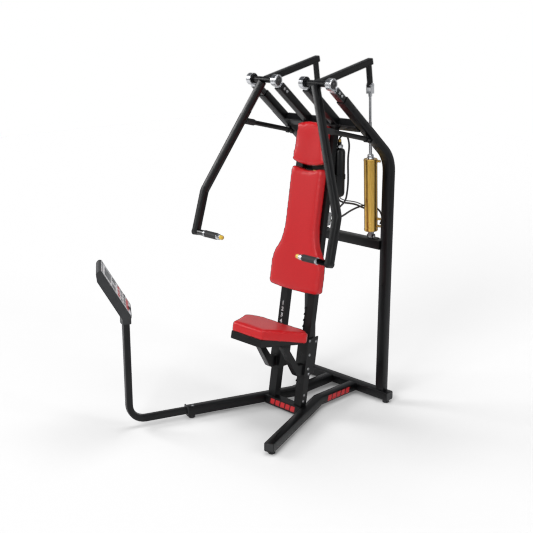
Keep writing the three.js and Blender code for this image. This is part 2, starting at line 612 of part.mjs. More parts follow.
/** Folded sheet tray: a top with a skirt on its front and both sides. */
function seatTray() {
  const { halfWidth, skirt, sheet } = SEAT;
  const length = 351;
  const outer = slab([[-halfWidth, 0], [halfWidth, 0], [halfWidth, length], [-halfWidth, length]],
    skirt, onSeat(0, 0, -GAP - skirt / 2), X, seatBack);
  const inner = slab([[-halfWidth + sheet, sheet], [halfWidth - sheet, sheet],
    [halfWidth - sheet, length + 20], [-halfWidth + sheet, length + 20]],
  skirt, onSeat(0, 0, -GAP - sheet - skirt / 2), X, seatBack);
  return cut(outer, inner);
}

/** Carriage plates round three sides of a column, with the brace up to the tray. */
function seatBracket() {
  const { bottom, top, front, plate, rear, x0, x1 } = CARRIAGE;
  const face = slabX(leaning(bottom, top, -front, -front + plate), x0, x1);
  const outerSide = slabX(leaning(bottom, top, -front, COLUMN.depth + rear), x1 - plate, x1);
  const innerSide = slabX(leaning(bottom, top, -front, COLUMN.depth + rear), x0, x0 + plate);
  const foot = columnFront(bottom, -front + 1);
  const brace = [[-661, 472], [-622, 464], [-533, 330], [columnFront(324, -front + 1), 324],
    [foot, bottom + 6], [-530, bottom + 6], [-547, 273]];
  const hollow = [[-668, 494], [-622, 484], [-536, 324], [-507, 294], [-507, 269], [-528, 269], [-543, 277]];
  const outer = slabX(brace, COLUMN.x - 14, COLUMN.x + 22);
  const inner = slabX(hollow, COLUMN.x - 11, COLUMN.x + 19);
  return join(face, outerSide, innerSide, cut(outer, inner));
}

add('seat_pad', seatPad(), RED_VINYL);
add('seat_tray', seatTray(), BLACK_PAINT);
addPair('seat_bracket', seatBracket(), BLACK_PAINT);

// ---------- air tank and hoses ----------
function airTank() {
  const { radius, bottom, top, neck } = TANK;
  const profile = [[0, bottom], [radius * 0.55, bottom + 2], [radius * 0.87, bottom + 9], [radius, bottom + 22],
    [radius, top - 22], [radius * 0.87, top - 9], [radius * 0.55, top - 2], [neck, top - 1],
    [neck, TANK.fitting], [0, TANK.fitting]];
  return turned(profile, at(TANK.x, TANK.y, 0), Z);
}

/** Strap round the tank on a plate from the back of the column. */
function tankBracket() {
  const { x, y, radius, strapZ, strapHeight } = TANK;
  const start = strapZ - strapHeight / 2;
  const rearOfColumn = columnFront(start, COLUMN.depth + GAP);
  const strap = turned([[radius + GAP, 0], [radius + 3.5, 0], [radius + 3.5, strapHeight],
    [radius + GAP, strapHeight], [radius + GAP, 0]], at(x, y, start), Z);
  const arm = block(x - 16, x + 16, rearOfColumn + 8, y - radius - 1.5, start, start + strapHeight);
  const pad = slabX(leaning(start - 12, start + strapHeight + 12, COLUMN.depth + GAP, COLUMN.depth + 10),
    x - 20, x + 15);
  return join(strap, arm, pad);
}

/** Valve block on the back of the column, where the tank's hose ends. */
function valveBlock() {
  const { bottom, top, depth } = VALVE;
  return slabX(leaning(bottom, top, COLUMN.depth + GAP, COLUMN.depth + depth), TANK.x - 27, TANK.x + 8);
}

/** A round tube along a smooth curve through hand-chosen points. */
function hose(points) {
  const curve = new THREE.CatmullRomCurve3(points.map(([x, y, z]) => at(x, y, z)), false, 'centripetal');
  const circle = new THREE.Shape().absarc(0, 0, HOSE.radius, 0, 2 * Math.PI);
  const ring = circle.getPoints(HOSE.sides / 2);
  const section = new THREE.Shape(ring.slice(0, -1));
  const steps = Math.min(80, Math.round(curve.getLength() / (HOSE.radius * 5)));
  const geometry = new THREE.ExtrudeGeometry(section, { steps, extrudePath: curve, bevelEnabled: false });
  return surface(solid(geometry));
}

const TANK_HOSE = [[116, -195, 1593], [117, -194, 1612], [126, -185, 1626], [143, -168, 1624], [152, -159, 1600],
  [151, -158, 1494], [150, -160, 1294], [144, -170, 1250], [130, -192, 1220], [114, -214, 1194],
  [106, -238, 1172], [106, -262, 1166]];
const PRESS_HOSE = [[100, -265, 1144], [104, -236, 1140], [122, -180, 1154], [140, -100, 1186], [150, -30, 1200],
  [154, 20, 1200], [166, 56, 1192], [198, 68, 1176], [230, 62, 1152], [248, 46, 1122], [250, 30, 1100]];

add('air_tank', airTank(), BLACK_PAINT);
add('tank_bracket', tankBracket(), BLACK_PAINT);
add('valve_block', valveBlock(), STEEL);
add('tank_hose', hose(TANK_HOSE), BLACK_RUBBER);
addPair('press_hose', hose(PRESS_HOSE), BLACK_RUBBER);

// ---------- console ----------
const consoleDirection = at(-legDirection.x, legDirection.y, 0);
const consoleSocket = at(-legEnd.x, legEnd.y, BASE_MID + CONSOLE_TUBE.lift);
const heading = at(Math.cos(rad(CONSOLE.heading)), Math.sin(rad(CONSOLE.heading)), 0);
const consoleMast = along(consoleSocket, consoleDirection, CONSOLE_TUBE.reach);

/** The tube lies inside the right leg, runs out of its end and turns up. */
function consoleTube() {
  const { size, inside, reach, bend, top } = CONSOLE_TUBE;
  const line = bentLine([-inside, 0], [reach, 0], [reach, top - consoleSocket.z], bend, 8);
  return bentTube(line, size, size, consoleSocket, consoleDirection, Z);
}

/** Side outline of the housing: rounded ends, with the upper back corner cut off. */
function consoleOutline(length, thickness) {
  const [a, b] = [length / 2, thickness / 2];
  const shape = new THREE.Shape();
  shape.moveTo(-a + 14, -b);
  shape.lineTo(a - 46, -b);
  shape.lineTo(a - 10, -b + 16);
  shape.quadraticCurveTo(a, -b + 24, a, b - 14);
  shape.quadraticCurveTo(a, b, a - 14, b);
  shape.lineTo(-a + 14, b);
  shape.quadraticCurveTo(-a, b, -a, b - 14);
  shape.lineTo(-a, -b + 14);
  shape.quadraticCurveTo(-a, -b, -a + 14, -b);
  return shape;
}

/** Tilted shell on a hollow boss that sits on the mast. */
function consoleHousing() {
  const { x, y, z, length, width, thickness, tilt, wall, boss } = CONSOLE;
  const rise = at(-heading.x * Math.cos(rad(tilt)), -heading.y * Math.cos(rad(tilt)), Math.sin(rad(tilt)));
  const normal = rise.clone().cross(heading).normalize().cross(rise);
  const centre = at(x, y, z);
  const shell = slab(consoleOutline(length, thickness), width, centre, rise, normal);
  const room = slab(consoleOutline(length - 2 * wall, thickness - 2 * wall), width - 2 * wall, centre, rise, normal);
  const bottom = CONSOLE_TUBE.top + GAP;
  const column = (size, z0, z1) => place(new THREE.BoxGeometry(size, size, z1 - z0),
    at(consoleMast.x, consoleMast.y, (z0 + z1) / 2), consoleDirection.clone(), Z.clone().cross(consoleDirection));
  return cut(join(shell, column(boss, bottom, bottom + 95)), room, column(boss - 12, bottom - 5, bottom + 92));
}

add('console_tube', consoleTube(), BLACK_PAINT);
add('console_housing', consoleHousing(), CONSOLE_SHELL);

export default machine;
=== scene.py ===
import math

import bmesh
import bpy
from mathutils import Matrix, Vector


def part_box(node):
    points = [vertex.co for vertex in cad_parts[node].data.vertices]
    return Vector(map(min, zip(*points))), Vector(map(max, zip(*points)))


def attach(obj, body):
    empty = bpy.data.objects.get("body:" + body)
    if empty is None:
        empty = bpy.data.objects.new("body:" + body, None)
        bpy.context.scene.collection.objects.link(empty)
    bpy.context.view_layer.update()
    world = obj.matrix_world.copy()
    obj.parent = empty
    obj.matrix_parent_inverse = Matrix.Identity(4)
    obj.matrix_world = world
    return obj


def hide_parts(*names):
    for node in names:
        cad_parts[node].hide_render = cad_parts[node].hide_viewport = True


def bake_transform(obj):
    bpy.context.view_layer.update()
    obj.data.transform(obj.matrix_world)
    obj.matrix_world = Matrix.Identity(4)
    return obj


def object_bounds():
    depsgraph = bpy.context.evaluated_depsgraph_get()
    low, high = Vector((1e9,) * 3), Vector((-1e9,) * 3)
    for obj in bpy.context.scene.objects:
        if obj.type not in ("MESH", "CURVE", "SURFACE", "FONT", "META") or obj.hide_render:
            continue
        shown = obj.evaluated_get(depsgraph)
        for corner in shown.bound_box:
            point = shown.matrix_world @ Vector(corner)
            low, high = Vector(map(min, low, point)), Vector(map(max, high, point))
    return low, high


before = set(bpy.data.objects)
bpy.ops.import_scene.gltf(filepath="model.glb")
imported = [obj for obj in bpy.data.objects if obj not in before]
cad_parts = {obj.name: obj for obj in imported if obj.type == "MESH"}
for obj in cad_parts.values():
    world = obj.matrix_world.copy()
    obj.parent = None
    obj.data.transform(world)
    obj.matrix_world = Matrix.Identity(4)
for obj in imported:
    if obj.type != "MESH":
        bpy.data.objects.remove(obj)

CAD_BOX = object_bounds()

# ---------- places, in millimetres from the machine's datum ----------
DATUM = Vector((57.6, 707.95, 0.0))
SIDES = ((1, "left"), (-1, "right"))
X, Y, Z = Vector((1, 0, 0)), Vector((0, 1, 0)), Vector((0, 0, 1))

PIVOT = Vector((0, -483, 1938))
INCLINE = math.radians(40)
UP_SLOPE = Vector((0, -math.cos(INCLINE), math.sin(INCLINE)))
BEND_CORNER = Vector((0, 31.5, 1495.8))
POST_X, STUB_HALF, INNER_ARM_HALF = 299, 23, 25
HUB_OUTER, HUB_INNER = 313.3, 90.7

RECLINE = math.radians(9.1)
COLUMN_X, COLUMN_FRONT, COLUMN_FOOT = 106, -509.8, 70
PAD_NORMAL = Vector((0, -math.cos(RECLINE), math.sin(RECLINE)))
PAD_GAP = 1.5

SEAT_TILT = math.radians(11)
SEAT_NORMAL = Vector((0, math.sin(SEAT_TILT), math.cos(SEAT_TILT)))
SEAT_FRONT = Vector((0, -824, 557))

LEVER_X, LEVER_ANGLE, LEVER_LENGTH, LEVER_DROP = 200, math.radians(13), 453, 3
STOP_X, STOP_SLOPE = 300, math.radians(12.8)
CHROME_HALF = 446
INCLINE_END = 641

CYLINDER_FOOT = Vector((200, 10, 1021))
ROD_PIN = Vector((200, -38.3, 1904.5))
CYLINDER_UP = (ROD_PIN - CYLINDER_FOOT).normalized()
CYLINDER_TOP, CYLINDER_BOTTOM, CYLINDER_RADIUS = 463, 36, 38

LEG_SPLAY = math.radians(20.3)
LEG_DIRECTION = Vector((math.sin(LEG_SPLAY), -math.cos(LEG_SPLAY), 0))
LEG_SIDE = Vector((math.cos(LEG_SPLAY), math.sin(LEG_SPLAY), 0))
LEG_END = Vector((343.1, -988, 45))

CONSOLE_CENTRE = Vector((-514, -1353.5, 822))
CONSOLE_TILT, CONSOLE_HEADING = math.radians(60.5), math.radians(54.7)
CONSOLE_FACE = 25

TANK_PLACE = Vector((116, -195, 0))
TANK_HOSE = [(116, -195, 1593), (117, -194, 1612), (126, -185, 1626), (143, -168, 1624), (152, -159, 1600),
             (151, -158, 1494), (150, -160, 1294), (144, -170, 1250), (130, -192, 1220), (114, -214, 1194),
             (106, -238, 1172), (106, -262, 1166)]
PRESS_HOSE = [(100, -265, 1144), (104, -236, 1140), (122, -180, 1154), (140, -100, 1186), (150, -30, 1200),
              (154, 20, 1200), (166, 56, 1192), (198, 68, 1176), (230, 62, 1152), (248, 46, 1122),
              (250, 30, 1100)]
TANK_LINE = [(116, -195, 1274), (117, -190, 1256), (126, -165, 1240), (134, -110, 1226), (137, -60, 1212),
             (139, -10, 1190), (142, 32, 1174), (156, 68, 1162), (184, 84, 1152)]
HOSE_RADIUS = 4

NUMBER_TOP, NUMBER_PITCH, NUMBER_COUNT, NUMBER_SIZE = 624, 36, 9, 34
CARRIAGE_FACE, SLEEVE_FACE = 141, 133

# These are in metres, because the pads are worked on in the row frame.
VOXEL = 0.006
PUFF_LIMIT = 0.006
PRESSED_GAP = 0.0004

SHARP_ANGLE = math.radians(32)


def spot(place, across=X, up=Y):
    """Matrix to the row frame from a local one, in millimetres, whose first two axes are across and up."""
    out = across.cross(up)
    turn = Matrix((across, up, out)).transposed().to_4x4()
    return Matrix.Scale(0.001, 4) @ Matrix.Translation(Vector(place) + DATUM) @ turn


def facing(place, direction):
    """A local frame at a place whose third axis points along direction."""
    turn = Vector(direction).to_track_quat("Z", "Y").to_matrix()
    return spot(place, turn.col[0], turn.col[1])


def column_front(height, offset=0.0):
    """Y of the back columns' front face at a height, moved back by an offset."""
    return COLUMN_FRONT + (height - COLUMN_FOOT) * math.tan(RECLINE) + offset


def up_slope(distance, x):
    """A point on the inclined tubes' centre line."""
    return BEND_CORNER + UP_SLOPE * distance + X * x


# ---------- camera, light and floor ----------
def make_camera():
    """The photograph's viewpoint, in metres."""
    camera = bpy.data.objects.new("camera", bpy.data.cameras.new("camera"))
    camera.location = (3.6962, -3.59005, 2.3382)
    camera.rotation_euler = (math.radians(74.643), 0, math.radians(45.045))
    camera.data.lens = 64.2
    camera.data.sensor_width = 36
    bpy.context.scene.collection.objects.link(camera)
    bpy.context.scene.camera = camera


def make_world():
    """A plain white backdrop, in a grey room that is darker overhead, for bright metal to reflect."""
    world = bpy.data.worlds.new("studio")
    world.use_nodes = True
    bpy.context.scene.world = world
    nodes, links = world.node_tree.nodes, world.node_tree.links
    direction = nodes.new("ShaderNodeTexCoord")
    parts = nodes.new("ShaderNodeSeparateXYZ")
    ramp = nodes.new("ShaderNodeValToRGB")
    ramp.color_ramp.elements[0].position = 0.1
    ramp.color_ramp.elements[0].color = (0.62, 0.62, 0.62, 1)
    ramp.color_ramp.elements[1].position = 0.5
    ramp.color_ramp.elements[1].color = (0.13, 0.135, 0.145, 1)
    links.new(direction.outputs["Generated"], parts.inputs[0])
    links.new(parts.outputs["Z"], ramp.inputs[0])
    room = nodes["Background"]
    links.new(ramp.outputs[0], room.inputs["Color"])
    backdrop = nodes.new("ShaderNodeBackground")
    backdrop.inputs["Color"].default_value = (1, 1, 1, 1)
    seen = nodes.new("ShaderNodeLightPath")
    choice = nodes.new("ShaderNodeMixShader")
    links.new(seen.outputs["Is Camera Ray"], choice.inputs[0])
    links.new(room.outputs[0], choice.inputs[1])
    links.new(backdrop.outputs[0], choice.inputs[2])
    links.new(choice.outputs[0], nodes["World Output"].inputs["Surface"])


def soft_light(name, place, target, size, power):
    """A rectangular lamp at a place, turned to a target. Places and sizes are in metres."""
    light = bpy.data.lights.new(name, "AREA")
    light.shape = "RECTANGLE"
    light.size, light.size_y = size
    light.energy = power
    made = bpy.data.objects.new(name, light)
    made.location = place
    made.rotation_euler = (Vector(target) - Vector(place)).to_track_quat("-Z", "Y").to_euler()
    bpy.context.scene.collection.objects.link(made)


def make_stage():
    """A floor that shows only the shadows on it, and the lamps."""
    mesh = bpy.data.meshes.new("floor")
    reach = 12
    mesh.from_pydata([(-reach, -reach, 0), (reach, -reach, 0), (reach, reach, 0), (-reach, reach, 0)], [],
                     [(0, 1, 2, 3)])
    floor = bpy.data.objects.new("floor", mesh)
    floor.location.z = CAD_BOX[0].z - 0.0005
    bpy.context.scene.collection.objects.link(floor)
    paper = Finish("floor_paper", (0.93, 0.93, 0.93), 0.7)
    paper.vary("Roughness", paper.pattern(3), 0.65, 0.8)
    mesh.materials.append(paper.material)
    floor.is_shadow_catcher = True
    middle = (0, 0, 0.9)
    soft_light("key", (1.5, -5.5, 4.2), middle, (3, 2.5), 195)
    soft_light("side", (5.5, 1.5, 3.2), middle, (1.6, 2.4), 60)
    soft_light("left_fill", (-5, -2.5, 3.4), middle, (2.5, 2.5), 160)
    soft_light("top", (0, 0.5, 5.5), middle, (3, 3), 120)
    bpy.context.scene.view_settings.view_transform = "Standard"


# ---------- finishes ----------
class Finish:
    """A principled material with short calls for its patterns. Sizes are in metres, in the row frame."""

    def __init__(self, name, color, roughness, metallic=0.0, slot=None):
        self.material = bpy.data.materials.new(name)
        self.material.use_nodes = True
        self.nodes = self.material.node_tree.nodes
        self.links = self.material.node_tree.links
        self.shader = self.nodes["Principled BSDF"]
        self.slot = slot
        self.set("Base Color", (*color, 1))
        self.set("Roughness", roughness)
        self.set("Metallic", metallic)

    def set(self, socket, value):
        """Gives a socket of the shader a plain value."""
        self.shader.inputs[socket].default_value = value
        return self

    def place(self):
        """Where a point lies in the row frame."""
        return self.nodes.new("ShaderNodeTexCoord").outputs["Object"]

    def pattern(self, scale, stretch=(1, 1, 1), kind="ShaderNodeTexNoise"):
        """A texture's first output: noise, or cells. Scale counts features per metre."""
        mapping = self.nodes.new("ShaderNodeMapping")
        mapping.inputs["Scale"].default_value = stretch
        texture = self.nodes.new(kind)
        texture.inputs["Scale"].default_value = scale
        self.links.new(self.place(), mapping.inputs["Vector"])
        self.links.new(mapping.outputs["Vector"], texture.inputs["Vector"])
        return texture.outputs[0]

    def vary(self, socket, pattern, low, high):
        """A socket's value from a pattern, between two values."""
        spread = self.nodes.new("ShaderNodeMapRange")
        spread.inputs["From Min"].default_value = 0.3
        spread.inputs["From Max"].default_value = 0.7
        spread.inputs["To Min"].default_value = low
        spread.inputs["To Max"].default_value = high
        self.links.new(pattern, spread.inputs["Value"])
        self.links.new(spread.outputs["Result"], self.shader.inputs[socket])

    def tint(self, pattern, low, high, start=0.35, end=0.65):
        """Base colour from a pattern, between two colours."""
        ramp = self.nodes.new("ShaderNodeValToRGB")
        for element, position, color in zip(ramp.color_ramp.elements, (start, end), (low, high)):
            element.position = position
            element.color = (*color, 1)
        self.links.new(pattern, ramp.inputs[0])
        self.links.new(ramp.outputs[0], self.shader.inputs["Base Color"])

    def relief(self, pattern, depth, edge=0.0, strength=1.0):
        """Surface relief of a depth in metres, over edges worn round to the given radius."""
        bump = self.nodes.new("ShaderNodeBump")
        bump.inputs["Distance"].default_value = depth
        bump.inputs["Strength"].default_value = strength
        self.links.new(pattern, bump.inputs["Height"])
        if edge:
            worn = self.nodes.new("ShaderNodeBevel")
            worn.inputs["Radius"].default_value = edge
            self.links.new(worn.outputs[0], bump.inputs["Normal"])
        self.links.new(bump.outputs[0], self.shader.inputs["Normal"])

    def beyond(self, direction, distance):
        """1 where a point's distance along a direction is more than the given one, in metres."""
        dot = self.nodes.new("ShaderNodeVectorMath")
        dot.operation = "DOT_PRODUCT"
        dot.inputs[1].default_value = direction
        self.links.new(self.place(), dot.inputs[0])
        step = self.nodes.new("ShaderNodeMath")
        step.operation = "GREATER_THAN"
        step.inputs[1].default_value = distance
        self.links.new(dot.outputs["Value"], step.inputs[0])
        return step.outputs[0]

    def cover(self, mask, color, metallic):
        """Another colour and metalness where the mask is 1."""
        socket = self.shader.inputs["Base Color"]
        mix = self.nodes.new("ShaderNodeMixRGB")
        mix.inputs["Color1"].default_value = socket.default_value
        mix.inputs["Color2"].default_value = (*color, 1)
        if socket.is_linked:
            self.links.new(socket.links[0].from_socket, mix.inputs["Color1"])
        self.links.new(mask, mix.inputs["Fac"])
        self.links.new(mix.outputs["Color"], socket)
        self.vary("Metallic", mask, self.shader.inputs["Metallic"].default_value, metallic)


BLACK_LOW, BLACK_HIGH = (0.0022, 0.0023, 0.0028), (0.0042, 0.0044, 0.005)
CHROME_COLOR = (0.6, 0.61, 0.63)
STEEL_COLOR = (0.36, 0.37, 0.38)


def powder_coat():
    coat = Finish("black_powder_coat", (0.012, 0.0125, 0.0135), 0.36, slot="black_paint")
    coat.set("Specular IOR Level", 0.26)
    coat.tint(coat.pattern(9), BLACK_LOW, BLACK_HIGH)
    coat.vary("Roughness", coat.pattern(35), 0.27, 0.38)
    coat.relief(coat.pattern(650), 0.00009, edge=0.0028, strength=0.6)
    return coat


def chrome():
    bright = Finish("chrome", CHROME_COLOR, 0.14, 1.0, slot="bright_metal")
    bright.vary("Roughness", bright.pattern(120), 0.12, 0.2)
    bright.relief(bright.pattern(220), 0.00002, edge=0.0012, strength=0.1)
    return bright


def handle_chrome():
    """Chrome round the grips, and black beyond them, where the bar meets the arms."""
    bright = chrome()
    bright.material.name = "handle_chrome"
    for side in (1, -1):
        edge = (CHROME_HALF + side * DATUM.x) / 1000
        bright.cover(bright.beyond(X * side, edge), BLACK_HIGH, 0)
    return bright


def steel():
    plain = Finish("plain_steel", (0.42, 0.43, 0.44), 0.36, 1.0, slot="plain_steel")
    plain.vary("Roughness", plain.pattern(260, (1, 1, 9)), 0.26, 0.46)
    plain.relief(plain.pattern(900, (1, 1, 6)), 0.00004, edge=0.001, strength=0.4)
    return plain


def bearing():
    """Bright housings on stubs painted as the frame: the paint stops at the end of the inclined tube."""
    cast = Finish("bearing_housing", BLACK_HIGH, 0.2, slot="bright_metal")
    end = (up_slope(INCLINE_END, 0) + DATUM).dot(UP_SLOPE) / 1000
    cast.vary("Roughness", cast.pattern(120), 0.16, 0.28)
    cast.relief(cast.pattern(300), 0.00003, edge=0.0015, strength=0.2)
    cast.cover(cast.beyond(UP_SLOPE, end), CHROME_COLOR, 1)
    return cast


def gold_anodised():
    gold = Finish("gold_anodised", (0.62, 0.4, 0.1), 0.3, 1.0, slot="gold_cylinder")
    gold.tint(gold.pattern(160, (1, 1, 0.02)), (0.6, 0.36, 0.075), (0.74, 0.47, 0.12))
    gold.vary("Roughness", gold.pattern(60), 0.27, 0.36)
    gold.relief(gold.pattern(500, (1, 1, 0.02)), 0.00001, strength=0.1)
    end = (CYLINDER_FOOT + DATUM + CYLINDER_UP * CYLINDER_BOTTOM).dot(CYLINDER_UP) / 1000
    gold.cover(gold.beyond(-CYLINDER_UP, -end), STEEL_COLOR, 1)
    return gold


def red_vinyl():
    """Smooth upholstery vinyl with a fine leather grain."""
    vinyl = Finish("red_vinyl", (0.6, 0.017, 0.024), 0.42, slot="red_vinyl")
    vinyl.tint(vinyl.pattern(240), (0.5, 0.006, 0.009), (0.56, 0.008, 0.012))
    vinyl.vary("Roughness", vinyl.pattern(400), 0.3, 0.42)
    vinyl.set("Specular IOR Level", 0.42)
    vinyl.relief(vinyl.pattern(620, kind="ShaderNodeTexVoronoi"), 0.00016, strength=0.5)
    return vinyl


def plastic(name, color, roughness, slot, shade=0.8, scale=500, depth=0.00008, edge=0.001):
    """Moulded plastic, rubber or paint with a fine even texture and slight shading."""
    made = Finish(name, color, roughness, slot=slot)
    made.tint(made.pattern(22), [c * shade for c in color], color)
    made.vary("Roughness", made.pattern(90), roughness - 0.05, roughness + 0.07)
    made.relief(made.pattern(scale), depth, edge=edge, strength=0.5)
    return made


def grip_rubber():
    """Moulded grip with close rings round it."""
    grip = Finish("grip_rubber", (0.011, 0.011, 0.012), 0.62, slot="black_rubber")
    wave = grip.nodes.new("ShaderNodeTexWave")
    wave.inputs["Scale"].default_value = 60
    wave.inputs["Distortion"].default_value = 0.4
    grip.links.new(grip.place(), wave.inputs["Vector"])
    grip.tint(wave.outputs["Fac"], (0.007, 0.007, 0.008), (0.017, 0.017, 0.018))
    grip.relief(wave.outputs["Fac"], 0.0006, edge=0.0015, strength=0.7)
    return grip


def make_finishes():
    """Every finish by the short name that the pieces use."""
    return {
        "paint": powder_coat(),
        "chrome": chrome(),
        "handle": handle_chrome(),
        "steel": steel(),
        "bearing": bearing(),
        "gold": gold_anodised(),
        "vinyl": red_vinyl(),
        "grip": grip_rubber(),
        "rubber": plastic("black_rubber", (0.013, 0.013, 0.014), 0.7, "black_rubber", scale=900),
        "cap": plastic("black_cap_plastic", (0.016, 0.0165, 0.018), 0.38, "black_rubber", scale=1200),
        "yellow": plastic("yellow_plastic", (0.78, 0.52, 0.06), 0.3, "yellow_plastic", shade=0.9),
        "console": plastic("console_plastic", (0.02, 0.021, 0.023), 0.46, "console_shell", scale=1400),
        "brass": plastic("brass_fitting", (0.72, 0.46, 0.12), 0.27, "bright_metal").set("Metallic", 1.0),
        "hose": plastic("hose_rubber", (0.012, 0.012, 0.013), 0.42, "hose_rubber", scale=700),
        "clear": plastic("clear_line", (0.55, 0.57, 0.58), 0.2, "hose_rubber").set("Alpha", 0.75),
        "stripe": plastic("red_stripe_paint", (0.58, 0.012, 0.018), 0.35, "black_paint", shade=0.92),
        "label": plastic("pale_label", (0.72, 0.73, 0.74), 0.5, "console_shell", shade=0.93),
        "grey": plastic("grey_label", (0.22, 0.23, 0.24), 0.5, "console_shell"),
        "glass": plastic("dark_screen", (0.01, 0.013, 0.018), 0.1, "console_shell", depth=0.00001),
    }


OTHER_FINISHES = {
    "outer_bearing": "bearing",
    "inner_bearing": "chrome",
    "pivot_shaft": "steel",
    "handle_bar": "handle",
    "handle_grip": "grip",
    "thumb_button": "yellow",
    "cylinder": "gold",
    "piston_rod": "chrome",
    "stop_bumper": "rubber",
    "rear_foot": "rubber",
    "front_foot": "rubber",
    "valve_block": "steel",
    "console_housing": "console",
}


def smooth_group():
    """Nodes that join a CAD node's triangles and shade its round faces smooth, but keep its edges sharp."""
    group = bpy.data.node_groups.new("smooth_round_faces", "GeometryNodeTree")
    for way in ("INPUT", "OUTPUT"):
        group.interface.new_socket("Geometry", in_out=way, socket_type="NodeSocketGeometry")
    nodes, links = group.nodes, group.links
    bare = nodes.new("GeometryNodeRemoveAttribute")
    bare.inputs["Name"].default_value = "custom_normal"
    joined = nodes.new("GeometryNodeMergeByDistance")
    joined.inputs["Distance"].default_value = 1e-5
    faces = nodes.new("GeometryNodeSetShadeSmooth")
    edges = nodes.new("GeometryNodeSetShadeSmooth")
    edges.domain = "EDGE"
    edges.inputs["Shade Smooth"].default_value = False
    sharp = nodes.new("ShaderNodeMath")
    sharp.operation = "GREATER_THAN"
    sharp.inputs[1].default_value = SHARP_ANGLE
    links.new(nodes.new("GeometryNodeInputMeshEdgeAngle").outputs["Unsigned Angle"], sharp.inputs[0])
    links.new(sharp.outputs[0], edges.inputs["Selection"])
    chain = [nodes.new("NodeGroupInput"), bare, joined, faces, edges, nodes.new("NodeGroupOutput")]
    for first, second in zip(chain, chain[1:]):
        links.new(first.outputs[0], second.inputs[0])
    return group


def paint_frame():
    """Gives every CAD node its finish: the frame's paint, where nothing else is named."""
    smooth = smooth_group()
    for name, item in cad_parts.items():
        item.modifiers.new("smooth", "NODES").node_group = smooth
        stem = name.removesuffix("_left").removesuffix("_right")
        item.data.materials.clear()
        item.data.materials.append(FINISH[OTHER_FINISHES.get(stem, "paint")].material)


# ---------- building pieces ----------
def new_piece(name, mesh, finish, body):
    """Links a mesh that already lies in the row frame, with its finish, and lets it ride on a body."""
    piece = bpy.data.objects.new(name, mesh)
    bpy.context.scene.collection.objects.link(piece)
    mesh.materials.append(FINISH[finish].material)
    if body:
        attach(piece, body)
    return piece


def finish_mesh(name, shape, where):
    """Turns a bmesh in a local frame into a smooth-shaded mesh in the row frame."""
    bmesh.ops.remove_doubles(shape, verts=shape.verts, dist=1e-3)
    bmesh.ops.recalc_face_normals(shape, faces=shape.faces)
    mesh = bpy.data.meshes.new(name)
    shape.to_mesh(mesh)
    shape.free()
    mesh.transform(where)
    mesh.shade_smooth()
    mesh.set_sharp_from_angle(angle=SHARP_ANGLE)
    return mesh


def turned(name, profile, where, finish, body="frame", segments=40):
    """A piece turned about its local third axis, from (radius, height) pairs in millimetres."""
    shape = bmesh.new()
    points = [shape.verts.new((radius, 0, height)) for radius, height in profile]
    edges = [shape.edges.new(pair) for pair in zip(points, points[1:])]
    bmesh.ops.spin(shape, geom=points + edges, cent=(0, 0, 0), axis=(0, 0, 1), angle=2 * math.pi,
                   steps=segments, use_merge=True)
    return new_piece(name, finish_mesh(name, shape, where), finish, body)


def rounded(width, height, radius, steps=5):
    """Outline of a rectangle with round corners, centred on its middle."""
    corners = ((1, 1), (-1, 1), (-1, -1), (1, -1))
    points = []
    for quarter, (a, b) in enumerate(corners):
        centre = (a * (width / 2 - radius), b * (height / 2 - radius))
        for step in range(steps + 1):
            angle = (quarter + step / steps) * math.pi / 2
            points.append((centre[0] + radius * math.cos(angle), centre[1] + radius * math.sin(angle)))
    return points


def plate(name, outline, thickness, where, finish, body="frame", edge=0.6):
    """A flat piece: an outline in millimetres, raised by a thickness, with its top edge softened."""
    shape = bmesh.new()
    middle = Vector((sum(p[0] for p in outline), sum(p[1] for p in outline), 0)) / len(outline)
    half = max((Vector((*p, 0)) - middle).length for p in outline)
    inner = [middle + (Vector((*p, 0)) - middle) * (1 - edge / half) for p in outline]
    layers = [[shape.verts.new((*p, 0)) for p in outline],
              [shape.verts.new((*p, thickness - edge)) for p in outline],
              [shape.verts.new((p.x, p.y, thickness)) for p in inner]]
    shape.faces.new(reversed(layers[0]))
    shape.faces.new(layers[2])
    count = len(outline)
    for low, high in zip(layers, layers[1:]):
        for k in range(count):
            after = (k + 1) % count
            shape.faces.new((low[k], low[after], high[after], high[k]))
    return new_piece(name, finish_mesh(name, shape, where), finish, body)


def bolt(name, place, direction, radius=5.5, body="frame"):
    """A button-head screw with a round socket, on a washer."""
    height = radius * 0.75
    low, washer = height * 0.3, radius * 1.35
    profile = [(0, low), (radius * 0.42, low), (radius * 0.5, height), (radius * 0.8, height * 0.8),
               (radius, low), (radius, 1), (washer, 1), (washer, 0), (0, 0)]
    return turned(name, profile, facing(place, direction), "steel", body, segments=24)


def hose_mesh(name, route, radius):
    """A round hose along a smooth curve through its route, as a mesh."""
    curve = bpy.data.curves.new(name, "CURVE")
    curve.dimensions = "3D"
    curve.bevel_depth = radius / 1000
    curve.bevel_resolution = 4
    curve.use_fill_caps = True
    spline = curve.splines.new("BEZIER")
    spline.bezier_points.add(len(route) - 1)
    for point, place in zip(spline.bezier_points, route):
        point.co = (Vector(place) + DATUM) / 1000
        point.handle_left_type = point.handle_right_type = "AUTO"
    carrier = bpy.data.objects.new(name + "_line", curve)
    bpy.context.scene.collection.objects.link(carrier)
    view = bpy.context.evaluated_depsgraph_get()
    mesh = bpy.data.meshes.new_from_object(carrier.evaluated_get(view))
    bpy.data.objects.remove(carrier)
    mesh.shade_smooth()
    return mesh


def hose(name, route, radius=HOSE_RADIUS, finish="hose", body="frame"):
    """A hose as a piece with its finish."""
    return new_piece(name, hose_mesh(name, route, radius), finish, body)


# ---------- hoses ----------
def mirror_x(route, side):
    """The route on the given side."""
    return [(side * x, y, z) for x, y, z in route]


def shifted(route, offset):
    """The route moved by an offset."""
    return [tuple(Vector(place) + Vector(offset)) for place in route]


